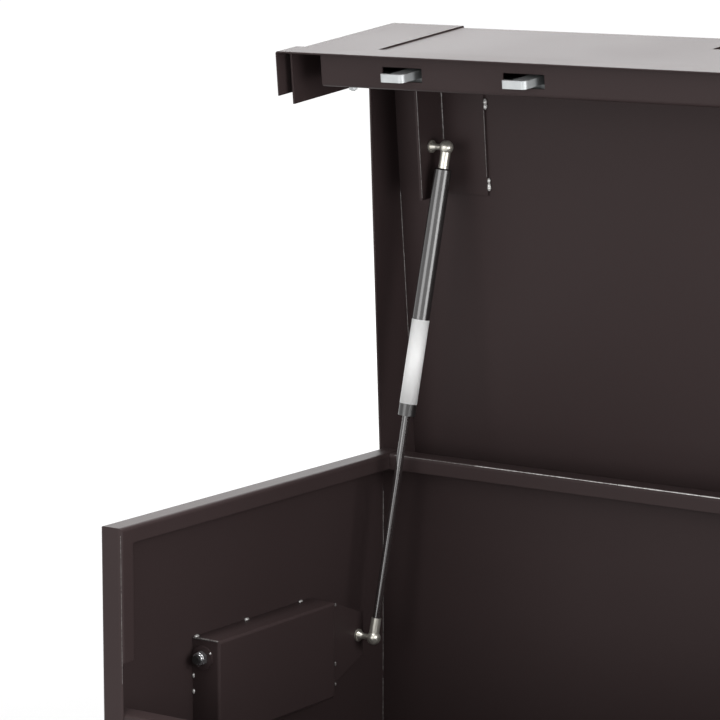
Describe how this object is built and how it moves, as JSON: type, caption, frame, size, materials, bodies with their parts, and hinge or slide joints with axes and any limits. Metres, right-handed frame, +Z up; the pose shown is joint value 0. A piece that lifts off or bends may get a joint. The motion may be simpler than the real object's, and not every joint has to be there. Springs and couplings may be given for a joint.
{
  "type": "reinforced storage chest",
  "caption": "Folded steel storage chest with a gas-strut lid, a deep reinforced front flap with a sliding hook lock, recessed drop handles and bolt-down floor.",
  "frame": {"origin": "centre of the base's underside, on the floor", "axes": "+X to the right along the length, +Y to the back (the hinges), +Z up"},
  "size_m": [0.946, 0.5381, 0.8919],
  "materials": {
    "powder_coat": "satin grained powder coat",
    "nickel": "bright nickel plate",
    "zinc_plate": "bright zinc plate",
    "strut_black": "gloss black",
    "cap_plastic": "moulded",
    "handle_steel": "black coated steel",
    "fastener_steel": "dark plated"
  },
  "bodies": {
    "chest": {"floor_panel": "powder_coat", "left_side_panel": "powder_coat", "right_side_panel": "powder_coat", "front_panel": "powder_coat", "back_panel": "powder_coat", "left_handle_box": "powder_coat", "right_handle_box": "powder_coat", "left_handle_washers": "powder_coat", "right_handle_washers": "powder_coat", "left_strut_mount": "powder_coat", "right_strut_mount": "powder_coat", "left_strut_lower_ball": "nickel", "right_strut_lower_ball": "nickel", "hinge_body_leaves": "powder_coat", "hinge_pins": "fastener_steel"},
    "lid": {"lid_panel": "powder_coat", "left_lid_cheek": "powder_coat", "right_lid_cheek": "powder_coat", "flap_frame": "powder_coat", "hinge_lid_leaves": "powder_coat", "lock_channel": "powder_coat", "lock_case": "powder_coat", "lock_pocket": "powder_coat", "bar_guides": "powder_coat", "left_strut_bracket": "powder_coat", "right_strut_bracket": "powder_coat", "left_bracket_nuts": "fastener_steel", "right_bracket_nuts": "fastener_steel"},
    "lock_handle": {"lock_handle": "handle_steel", "lock_crank": "zinc_plate"},
    "key_plug": {"key_plug": "zinc_plate"},
    "lock_bar": {"lock_bar": "zinc_plate", "lock_hooks": "zinc_plate"},
    "left_handle": {"left_handle": "handle_steel", "left_handle_nuts": "zinc_plate"},
    "left_strut_rod": {"left_strut_rod": "strut_black", "left_strut_lower_socket": "nickel"},
    "left_strut_tube": {"left_strut_tube": "strut_black", "left_strut_cap": "cap_plastic", "left_strut_upper_socket": "nickel", "left_strut_upper_ball": "nickel"},
    "right_handle": {"right_handle": "handle_steel", "right_handle_nuts": "zinc_plate"},
    "right_strut_rod": {"right_strut_rod": "strut_black", "right_strut_lower_socket": "nickel"},
    "right_strut_tube": {"right_strut_tube": "strut_black", "right_strut_cap": "cap_plastic", "right_strut_upper_socket": "nickel", "right_strut_upper_ball": "nickel"}
  },
  "joints": [
    {"name": "lid_hinge", "type": "hinge", "parent": "chest", "child": "lid", "pos_m": [0, 0.249, 0.3953], "axis": [1, 0, 0], "range_deg": [0, 84.16], "stiffness_Nm_per_rad": 22.5, "springref_deg": -30.6},
    {"name": "left_handle_swing", "type": "hinge", "parent": "chest", "child": "left_handle", "pos_m": [-0.4445, 0, 0.2915], "axis": [0, 1, 0], "range_deg": [0, 100]},
    {"name": "left_strut_swing", "type": "hinge", "parent": "chest", "child": "left_strut_rod", "pos_m": [-0.42, 0.1597, 0.2608], "axis": [0.9993, 0.0331, 0.0162], "range_deg": [0, 69.18]},
    {"name": "left_strut_slide", "type": "slide", "parent": "left_strut_rod", "child": "left_strut_tube", "axis": [-0.0727, -0.1498, -0.986], "range_m": [0, 0.1875]},
    {"name": "right_handle_swing", "type": "hinge", "parent": "chest", "child": "right_handle", "pos_m": [0.4445, 0, 0.2915], "axis": [0, -1, 0], "range_deg": [0, 100]},
    {"name": "right_strut_swing", "type": "hinge", "parent": "chest", "child": "right_strut_rod", "pos_m": [0.42, 0.1597, 0.2608], "axis": [0.9993, -0.0331, -0.0162], "range_deg": [0, 69.18]},
    {"name": "right_strut_slide", "type": "slide", "parent": "right_strut_rod", "child": "right_strut_tube", "axis": [0.0727, -0.1498, -0.986], "range_m": [0, 0.1875]},
    {"name": "lock_turn", "type": "hinge", "parent": "lid", "child": "lock_handle", "pos_m": [0, 0.21554, 0.88655], "axis": [0, 0.1018, -0.9948], "range_deg": [0, 60]},
    {"name": "lock_slide", "type": "slide", "parent": "lid", "child": "lock_bar", "axis": [-1, 0, 0], "range_m": [0, 0.01]},
    {"name": "key_turn", "type": "hinge", "parent": "lock_handle", "child": "key_plug", "pos_m": [0, 0.21554, 0.88655], "axis": [0, 0.1018, -0.9948], "range_deg": [0, 90]}
  ],
  "couplings": [
    {"joint": "left_strut_swing", "follows": "lid_hinge", "ratio": 0.82137},
    {"joint": "left_strut_slide", "follows": "lid_hinge", "m_per_rad": 0.12749},
    {"joint": "right_strut_swing", "follows": "lid_hinge", "ratio": 0.82137},
    {"joint": "right_strut_slide", "follows": "lid_hinge", "m_per_rad": 0.12749},
    {"joint": "lock_turn", "follows": "lock_slide", "rad_per_m": 104.71}
  ]
}
